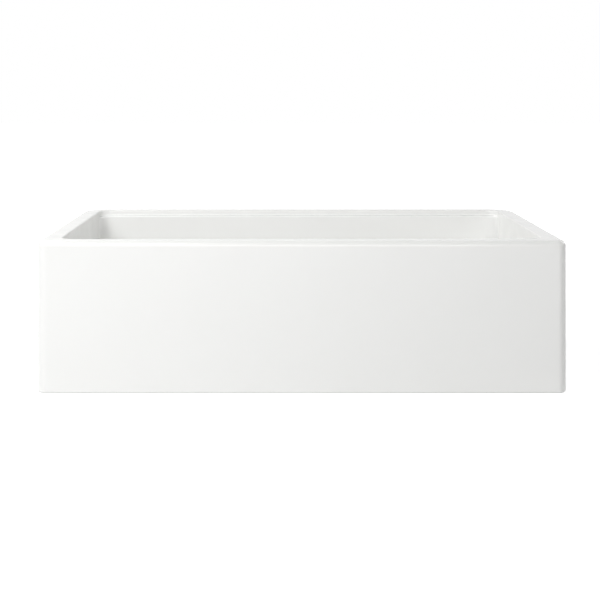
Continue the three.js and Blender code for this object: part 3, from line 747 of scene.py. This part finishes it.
def turned_sheet(outline):
    """An open surface of revolution through (r, z) points."""
    return skin([[polar(r, a, z) for a in round_angles(FINE)] for r, z in outline])


def lift_out_basket(steel):
    """A basket pressed from one sheet: neck, drilled floor, slotted wall and flat rim."""
    rim_r, floor, rim_top = reach("basket")
    rim = rim_top - BASKET_SHEET
    bend = BASKET_BOTTOM_R - BASKET_CORNER_R
    neck_top = floor + NECK_HEIGHT - BASKET_SHEET
    wall_low = (BASKET_BOTTOM_R, floor + BASKET_CORNER_R)
    wall_high = (BASKET_TOP_R - RIM_BEND * BEND_LEAN, rim - RIM_BEND)
    first = NECK_BORE_R + BASKET_SHEET
    spacing = (bend - first) / (len(BASKET_HOLES) + 1)
    bands = [first + spacing / 2, first + 1.5 * spacing, first + 2.5 * spacing]
    neck = [(NECK_MOUTH_R, neck_top), (NECK_BORE_R, neck_top), (NECK_BORE_R, floor + NECK_STRAIGHT)]
    neck = eased(neck, EDGE_EASE, closed=False)
    neck += arc(NECK_BORE_R + SOFT_EASE, floor + SOFT_EASE, SOFT_EASE, 180, 270, 5)
    neck += [(bands[0], floor)]
    outer_floor = [(bands[2], floor), (mix(bands[2], bend, 0.5), floor)]
    outer_floor += arc(bend, floor + BASKET_CORNER_R, BASKET_CORNER_R, -90, 0, 7)
    top = eased([wall_high, (BASKET_TOP_R, rim), (rim_r, rim)], RIM_BEND, steps=6, closed=False)
    verts, faces = joined(
        turned_sheet(neck),
        drilled_floor(floor, bands[0], bands[1], first + spacing, BASKET_HOLES[0]),
        drilled_floor(floor, bands[1], bands[2], first + 2 * spacing, BASKET_HOLES[1]),
        turned_sheet(outer_floor),
        slotted_wall(wall_low, wall_high, floor + SLOT_LOW_MARGIN, rim - SLOT_TOP_MARGIN),
        turned_sheet(top),
    )
    piece = finished(
        "pierced_basket", verts, faces, steel,
        "basket", "lift_out_basket", "brushed_steel", sharp=50,
    )
    soften(piece, SHARP_EASE, segments=2, degrees=50)
    sheet = piece.modifiers.new("sheet_thickness", "SOLIDIFY")
    sheet.thickness = BASKET_SHEET
    sheet.offset = -1
    sheet.use_even_offset = True
    piece.modifiers.move(len(piece.modifiers) - 1, 0)
    return piece


def spring_clip(steel):
    """The split sleeve that grips the stem, waisted in the middle and flared at both ends."""
    _, bottom, top = reach("detent_clip")
    outer_r = NECK_BORE_R - SEAT_GAP
    bore_r = STEM_R + RUNNING_GAP
    middle = (bottom + top) / 2
    waist_low = mix(bottom, middle, CLIP_WAIST_PLACE)
    waist_high = mix(top, middle, CLIP_WAIST_PLACE)
    section = [
        (outer_r, bottom),
        (outer_r - CLIP_WAIST, waist_low),
        (outer_r - CLIP_WAIST, waist_high),
        (outer_r, top),
        (bore_r + CLIP_WAIST, top),
        (bore_r, waist_high),
        (bore_r, waist_low),
        (bore_r + CLIP_WAIST, bottom),
    ]
    outline = eased(section, SMALL_EASE)
    half = math.radians(CLIP_SLOT_ANGLE / 2)
    angles = evenly(half, 2 * math.pi - half, 60)
    rings = [[polar(r, a, z) for r, z in reversed(outline)] for a in angles]
    verts, faces = skin(rings)
    count = len(outline)
    last = (len(rings) - 1) * count
    faces += [tuple(reversed(range(count))), tuple(range(last, last + count))]
    return finished(
        "spring_clip", verts, faces, steel, "detent_clip", "lift_out_basket", "spring_steel", sharp=50
    )


# ---- Stopper ----

def stem(steel):
    """A turned stem with two detent grooves and a threaded lower end."""
    radius, bottom, top = reach("stopper_stem")
    _, clip_bottom, clip_top = reach("detent_clip")
    shoulder = reach("stopper_washer")[2] + SEAT_GAP
    clip_middle = (clip_bottom + clip_top) / 2
    thread_r = STEM_R - STEM_SHOULDER
    outline = [(thread_r - SMALL_EASE, bottom)]
    outline += threaded_stretch(thread_r, bottom + SMALL_EASE, shoulder - PLAIN_END, STEM_THREAD_PITCH)
    outline += [(thread_r, shoulder), (radius - SHARP_EASE, shoulder), (radius, shoulder + SHARP_EASE)]
    for z in (clip_middle, clip_middle + STOPPER_TRAVEL):
        outline += [(radius, z - GROOVE / 2)]
        for t in GROOVE_PLACES:
            outline += [(radius - GROOVE_DEPTH * math.sin(math.pi * t), z + GROOVE * (t - 0.5))]
        outline += [(radius, z + GROOVE / 2)]
    outline += [(radius, top - FINE_EASE), (radius - FINE_EASE, top)]
    shape = thread(bottom, shoulder - STEM_THREAD_TOP, thread_r, STEM_THREAD_PITCH, STEM_THREAD_DEPTH)
    return finished(
        "grooved_stem", *turned(outline, COARSE, shape, closed=False), steel,
        "stopper_stem", "stopper", "polished_steel",
    )


def knob(steel):
    """The knob: a foot bead, a waist, a round-edged head with a low crown, and a socket for the stem."""
    _, bottom, top = reach("stopper_knob")
    socket_r, socket_top = STEM_R + RUNNING_GAP, bottom + KNOB_SOCKET
    edge = top - KNOB_CROWN
    head = edge - 2 * KNOB_EDGE_R
    outline = [(socket_r, socket_top), (socket_r, bottom + SMALL_EASE), (socket_r + SMALL_EASE, bottom)]
    foot_and_waist = [
        (socket_r + SMALL_EASE, bottom),
        (KNOB_FOOT_R, bottom),
        (KNOB_FOOT_R, bottom + KNOB_FOOT_HEIGHT),
        (KNOB_WAIST_R, bottom + KNOB_WAIST_HEIGHT),
        (KNOB_WAIST_R, head - SOFT_EASE),
        (KNOB_R - KNOB_EDGE_R, head),
    ]
    outline += eased(foot_and_waist, SOFT_EASE, steps=6, closed=False)[1:-1]
    outline += arc(KNOB_R - KNOB_EDGE_R, edge - KNOB_EDGE_R, KNOB_EDGE_R, -90, KNOB_CROWN_START, 14)
    crown_r, crown_z = outline[-1]
    for t in CROWN_PLACES:
        outline += [(crown_r * (1 - t), mix(crown_z, top, 1 - (1 - t) ** 2))]
    return finished(
        "domed_knob", *turned(outline, MEDIUM, closed=False), steel,
        "stopper_knob", "stopper", "polished_steel",
    )


def seal(rubber):
    """The rubber disc that closes the outlet: a bevelled edge and a shallow hollow ring underneath."""
    outer_r, bottom, top = reach("stopper_seal")
    rim = outer_r - SEAL_BEVEL
    hub, ring_edge = STOPPER_BORE_R + SEAL_HUB_WIDTH, rim - SEAL_RIM_WIDTH
    section = [
        (STOPPER_BORE_R, bottom),
        (hub, bottom),
        (hub + SEAL_SLOPE_WIDTH, bottom + SEAL_HOLLOW),
        (ring_edge - SEAL_SLOPE_WIDTH, bottom + SEAL_HOLLOW),
        (ring_edge, bottom),
        (rim, bottom),
        (outer_r, bottom + SEAL_BEVEL),
        (outer_r, top - EDGE_EASE),
        (outer_r - EDGE_EASE, top),
        (STOPPER_BORE_R, top),
    ]
    return finished(
        "bevelled_seal", *turned(eased(section, SEAL_EASE), MEDIUM), rubber,
        "stopper_seal", "stopper", "black_rubber", sharp=60,
    )


def hex_nut(steel):
    """The small nut under the seal, chamfered at both ends."""
    corner_r, bottom, top = reach("stopper_nut")
    outline = [
        (STOPPER_BORE_R, bottom + FINE_EASE),
        (STOPPER_BORE_R + FINE_EASE, bottom),
        (corner_r - HEX_CHAMFER, bottom),
        (corner_r, bottom + HEX_CHAMFER / 2),
        (corner_r, top - HEX_CHAMFER / 2),
        (corner_r - HEX_CHAMFER, top),
        (STOPPER_BORE_R + FINE_EASE, top),
        (STOPPER_BORE_R, top - FINE_EASE),
    ]
    flats = many_sided(corner_r * math.cos(math.pi / 6), 6, math.pi / 6)
    return finished(
        "hex_nut", *turned(outline, HEX_SEGMENTS, flats), steel,
        "stopper_nut", "stopper", "polished_steel", sharp=20,
    )


# ---- Materials ----

RING_DRIFT = 0.0004  # how much the lathe's rings change along one radian, in metres
STEEL_WARMTH = 0.01
MIX_SHARE, MIX_FIRST, MIX_SECOND, MIX_RESULT = 0, 6, 7, 2  # sockets of a mix node set to colours


class Nodes:
    """A few words for wiring a material's nodes."""

    def __init__(self, name):
        self.material = bpy.data.materials.new(name)
        self.material.use_nodes = True
        self.tree = self.material.node_tree
        self.tree.nodes.clear()
        self.output = self.add("ShaderNodeOutputMaterial")
        self.shader = self.add("ShaderNodeBsdfPrincipled")
        self.link(self.shader, "BSDF", self.output, "Surface")
        self.place = self.add("ShaderNodeTexCoord").outputs["Object"]

    def add(self, kind, **settings):
        node = self.tree.nodes.new(kind)
        for key, value in settings.items():
            setattr(node, key, value)
        return node

    def link(self, node, output, target, socket):
        self.tree.links.new(node.outputs[output], target.inputs[socket])

    def feed(self, target, socket, value):
        """Sets a socket to a number or colour, or links it."""
        if isinstance(value, bpy.types.NodeSocket):
            self.tree.links.new(value, target.inputs[socket])
        else:
            target.inputs[socket].default_value = value

    def noise(self, scale, detail, place=None):
        """Noise from 0 to 1, with scale features to the metre."""
        texture = self.add("ShaderNodeTexNoise")
        self.feed(texture, "Vector", place or self.place)
        self.feed(texture, "Scale", scale)
        self.feed(texture, "Detail", detail)
        return texture.outputs["Fac"]

    def math(self, operation, a, b):
        """A calculation on two numbers or sockets."""
        node = self.add("ShaderNodeMath", operation=operation)
        self.feed(node, 0, a)
        self.feed(node, 1, b)
        return node.outputs["Value"]

    def ranged(self, value, from_low, from_high, to_low, to_high):
        """A value moved from one range into another, and held inside that."""
        node = self.add("ShaderNodeMapRange")
        for socket, number in (
            ("Value", value),
            ("From Min", from_low),
            ("From Max", from_high),
            ("To Min", to_low),
            ("To Max", to_high),
        ):
            self.feed(node, socket, number)
        return node.outputs["Result"]

    def blend(self, share, a, b):
        """A colour between a and b."""
        node = self.add("ShaderNodeMix", data_type="RGBA")
        self.feed(node, MIX_SHARE, share)
        self.feed(node, MIX_FIRST, a)
        self.feed(node, MIX_SECOND, b)
        return node.outputs[MIX_RESULT]

    def bump(self, height, depth, normal=None):
        """A bump whose height runs over depth metres."""
        node = self.add("ShaderNodeBump")
        self.feed(node, "Height", height)
        self.feed(node, "Distance", depth)
        if normal:
            self.feed(node, "Normal", normal)
        return node.outputs["Normal"]

    def finish(self, **inputs):
        for socket, value in inputs.items():
            self.feed(self.shader, socket.replace("_", " "), value)
        return self.material


def grey(value, warm=0.0):
    """A grey with less green and still less blue in it, the warmer it is."""
    return (value, value * (1 - 0.4 * warm), value * (1 - warm), 1.0)


def glaze():
    """White gloss glaze with painted shade over the rim's rounded edges and top, that stops in an uneven
    line above bare clay.
    """
    n = Nodes("fireclay_glaze")
    bare = n.add("ShaderNodeAttribute", attribute_name="bare_clay").outputs["Fac"]
    shaded_rim = n.add("ShaderNodeAttribute", attribute_name="painted_rim_shade").outputs["Fac"]
    line = n.math("ADD", bare, n.ranged(n.noise(60, 4), 0, 1, -0.45, 0.45))
    clay = n.ranged(line, 0.45, 0.6, 0, 1)
    cloud = n.noise(5, 3)
    white = n.blend(cloud, (0.925, 0.927, 0.914, 1), (0.905, 0.907, 0.892, 1))
    # painted shade over the rim's edges and top: the white drawn 35% of the way to a darker, yellower white
    edge = n.blend(n.math("MULTIPLY", shaded_rim, 0.35), white, (0.9, 0.897, 0.872, 1))
    grain = n.noise(900, 4)
    biscuit = n.blend(grain, (0.72, 0.66, 0.56, 1), (0.82, 0.77, 0.68, 1))
    gloss = n.ranged(n.noise(22, 3), 0.3, 0.7, 0.15, 0.24)
    slow = n.bump(n.noise(9, 1), 0.0006)
    peel = n.bump(n.noise(160, 2), 0.00003, slow)
    rough_clay = n.math("MULTIPLY", clay, grain)
    skin_bump = n.bump(rough_clay, 0.0003, peel)
    n.feed(n.shader, "IOR", 1.52)
    return n.finish(
        Base_Color=n.blend(clay, edge, biscuit),
        Roughness=n.ranged(clay, 0, 1, gloss, 0.85),
        Normal=skin_bump,
    )


def turned_place(n):
    """Coordinates of radius, height and a little of the angle, which draw rings round the Z axis."""
    split = n.add("ShaderNodeSeparateXYZ")
    n.feed(split, "Vector", n.place)
    x, y, z = (split.outputs[axis] for axis in "XYZ")
    square = n.math("ADD", n.math("POWER", x, 2.0), n.math("POWER", y, 2.0))
    join = n.add("ShaderNodeCombineXYZ")
    n.feed(join, "X", n.math("SQRT", square, 0.0))
    n.feed(join, "Y", z)
    n.feed(join, "Z", n.math("MULTIPLY", n.math("ARCTAN2", y, x), RING_DRIFT))
    return join.outputs["Vector"]


def metal(name, tone, roughness, brushing):
    """Steel turned or polished on a lathe, with fine rings and a few soft wipe marks."""
    n = Nodes(name)
    rings = n.noise(5200, 3, turned_place(n))
    wipes = n.noise(55, 3)
    rings_rough = n.ranged(rings, 0.3, 0.7, 0, brushing)
    wipes_rough = n.ranged(wipes, 0.3, 0.7, roughness, roughness * 1.5)
    n.feed(n.shader, "Metallic", 1.0)
    return n.finish(
        Base_Color=n.blend(wipes, grey(tone, STEEL_WARMTH), grey(tone * 0.9, STEEL_WARMTH)),
        Roughness=n.math("ADD", rings_rough, wipes_rough),
        Normal=n.bump(rings, 0.00002 + 0.0001 * brushing),
    )


def cast_metal(name, tone):
    """Dull die-cast metal with a grainy skin."""
    n = Nodes(name)
    grain = n.noise(1400, 5)
    stain = n.noise(70, 4)
    base = n.blend(stain, grey(tone, 0.02), grey(tone * 0.72, 0.05))
    n.feed(n.shader, "Metallic", 0.9)
    return n.finish(
        Base_Color=base,
        Roughness=n.ranged(grain, 0.3, 0.7, 0.38, 0.6),
        Normal=n.bump(grain, 0.00012),
    )


def moulded(name, dark, light, rough_low, rough_high, grain_scale, grain_depth):
    """Rubber, fibre, foam or nylon: a colour with cloudy variation and a fine moulded grain."""
    n = Nodes(name)
    grain = n.noise(grain_scale, 5)
    cloud = n.noise(90, 3)
    share = n.math("MULTIPLY", n.math("ADD", grain, cloud), 0.5)
    return n.finish(
        Base_Color=n.blend(share, dark, light),
        Roughness=n.ranged(grain, 0.3, 0.7, rough_low, rough_high),
        Normal=n.bump(grain, grain_depth),
    )


# ---- Build ----

polished = metal("polished_steel", 0.62, 0.12, 0.05)
brushed = metal("brushed_steel", 0.58, 0.22, 0.16)
spring = metal("spring_steel", 0.45, 0.28, 0.1)
chrome = metal("chromed_nut", 0.6, 0.1, 0.03)
zinc = cast_metal("cast_zinc", 0.48)
rubber = moulded("black_rubber", (0.018, 0.018, 0.02, 1), (0.04, 0.04, 0.042, 1), 0.55, 0.8, 1800, 0.00006)
fibre = moulded("pressed_fibre", (0.30, 0.17, 0.09, 1), (0.46, 0.29, 0.17, 1), 0.8, 0.95, 1500, 0.00015)
foam = moulded("seal_foam", (0.72, 0.70, 0.63, 1), (0.82, 0.80, 0.74, 1), 0.8, 0.95, 2200, 0.0001)
nylon = moulded("white_nylon", (0.80, 0.78, 0.73, 1), (0.87, 0.86, 0.82, 1), 0.35, 0.5, 800, 0.00003)

casting(glaze())
strainer_cup(polished)
flat_ring(
    "flange_sealing_ring", HOLE_R + HOLE_EDGE_R, "flange_seal", SMALL_EASE, foam, "sink", "seal_foam"
)
ribbed_gasket(rubber)
flat_ring("friction_washer", NUT_BORE_R, "friction_ring", FIBRE_EASE, fibre, "sink", "fibre")
lug_nut(zinc)
outlet_grid(polished)
flat_ring(
    "tailpiece_sealing_washer", TAIL_WASHER_BORE_R, "tailpiece_washer", SMALL_EASE, nylon, "sink", "nylon"
)
coupling(chrome)
lift_out_basket(brushed)
spring_clip(spring)
stem(polished)
knob(polished)
flat_ring(
    "backing_washer", STOPPER_BORE_R, "stopper_washer", SHARP_EASE, brushed, "stopper", "brushed_steel"
)
seal(rubber)
hex_nut(polished)

# ---- Stage ----

FLOOR_REACH = 12.0
FLOOR_WHITE = 0.85
FLOOR_GLOW = 0.62  # near the sink
GLOW_RISE = (1.0, 2.6)  # the distances between which the glow rises to white
WORLD_FILL = 0.1
LAMP_AIM = (0, 0, 0.15)


def seen_directly(tree, strength):
    """The strength for rays from the camera, reflections and refractions, and zero for light on things."""
    path = tree.nodes.new("ShaderNodeLightPath")
    value = path.outputs["Is Camera Ray"]
    for operation, other in (
        ("MAXIMUM", path.outputs["Is Glossy Ray"]),
        ("MAXIMUM", path.outputs["Is Transmission Ray"]),
        ("MULTIPLY", strength),  # a number or a socket
    ):
        node = tree.nodes.new("ShaderNodeMath")
        node.operation = operation
        tree.links.new(value, node.inputs[0])
        if isinstance(other, float):
            node.inputs[1].default_value = other
        else:
            tree.links.new(other, node.inputs[1])
        value = node.outputs[0]
    return value


def rising_glow(tree):
    """The floor's glow, which rises with the distance from the sink as the lamps' light falls."""
    place = tree.nodes.new("ShaderNodeTexCoord")
    distance = tree.nodes.new("ShaderNodeVectorMath")
    distance.operation = "LENGTH"
    tree.links.new(place.outputs["Object"], distance.inputs[0])
    rise = tree.nodes.new("ShaderNodeMapRange")
    for socket, number in (
        ("From Min", GLOW_RISE[0]),
        ("From Max", GLOW_RISE[1]),
        ("To Min", FLOOR_GLOW),
        ("To Max", 1.0),
    ):
        rise.inputs[socket].default_value = number
    tree.links.new(distance.outputs["Value"], rise.inputs["Value"])
    return rise.outputs["Result"]


def floor():
    """A matt white floor with a plain glow added where it is looked at, so that only shadow shows on it."""
    corners = [(x * FLOOR_REACH, y * FLOOR_REACH, 0) for x, y in ((-1, -1), (1, -1), (1, 1), (-1, 1))]
    mesh = bpy.data.meshes.new("floor")
    mesh.from_pydata(corners, [], [(0, 1, 2, 3)])
    ground = bpy.data.objects.new("floor", mesh)
    bpy.context.scene.collection.objects.link(ground)
    material = bpy.data.materials.new("floor_paint")
    material.use_nodes = True
    tree = material.node_tree
    tree.nodes.clear()
    paint = tree.nodes.new("ShaderNodeBsdfDiffuse")
    paint.inputs["Color"].default_value = grey(FLOOR_WHITE)
    glow = tree.nodes.new("ShaderNodeEmission")
    tree.links.new(seen_directly(tree, rising_glow(tree)), glow.inputs["Strength"])
    both = tree.nodes.new("ShaderNodeAddShader")
    tree.links.new(paint.outputs[0], both.inputs[0])
    tree.links.new(glow.outputs[0], both.inputs[1])
    output = tree.nodes.new("ShaderNodeOutputMaterial")
    tree.links.new(both.outputs[0], output.inputs["Surface"])
    mesh.materials.append(material)


def surroundings():
    """A white world to look at and to see in reflections, which lights things only weakly."""
    world = bpy.data.worlds.new("studio")
    bpy.context.scene.world = world
    world.use_nodes = True
    tree = world.node_tree
    either = tree.nodes.new("ShaderNodeMath")
    either.operation = "MAXIMUM"
    tree.links.new(seen_directly(tree, 1.0), either.inputs[0])
    either.inputs[1].default_value = WORLD_FILL
    background = tree.nodes["Background"]
    background.inputs["Color"].default_value = grey(1.0)
    tree.links.new(either.outputs[0], background.inputs["Strength"])


def lamp(name, location, width, power):
    """A soft square lamp that shines at the sink."""
    data = bpy.data.lights.new(name, "AREA")
    data.shape = "SQUARE"
    data.size = width
    data.energy = power
    light = bpy.data.objects.new(name, data)
    light.location = location
    direction = Vector(LAMP_AIM) - Vector(location)
    light.rotation_euler = direction.to_track_quat("-Z", "Y").to_euler()
    bpy.context.scene.collection.objects.link(light)


floor()
surroundings()
lamp("front", (0, -5.0, 2.0), 3.0, 72)
lamp("front_left", (-1.0, -1.2, 1.6), 1.2, 24.5)
lamp("back_left", (-1.6, 1.2, 1.8), 1.4, 23)
lamp("back_right", (2.2, 0.8, 1.4), 1.4, 17)


# ---- Camera ----

CAMERA_PLACE = (-0.0293, -2.0425, 0.5235)
CAMERA_PITCH = 5.0  # degrees below the horizon
CAMERA_LENS = 65.32
CAMERA_SHIFT = (0.0257, -0.2029)

camera_data = bpy.data.cameras.new("camera")
camera_data.lens = CAMERA_LENS
camera_data.sensor_width = 36
camera_data.shift_x, camera_data.shift_y = CAMERA_SHIFT
camera = bpy.data.objects.new("camera", camera_data)
camera.location = CAMERA_PLACE
camera.rotation_euler = (math.radians(90 - CAMERA_PITCH), 0, 0)
bpy.context.scene.collection.objects.link(camera)
bpy.context.scene.camera = camera
bpy.context.scene.view_settings.view_transform = "Standard"
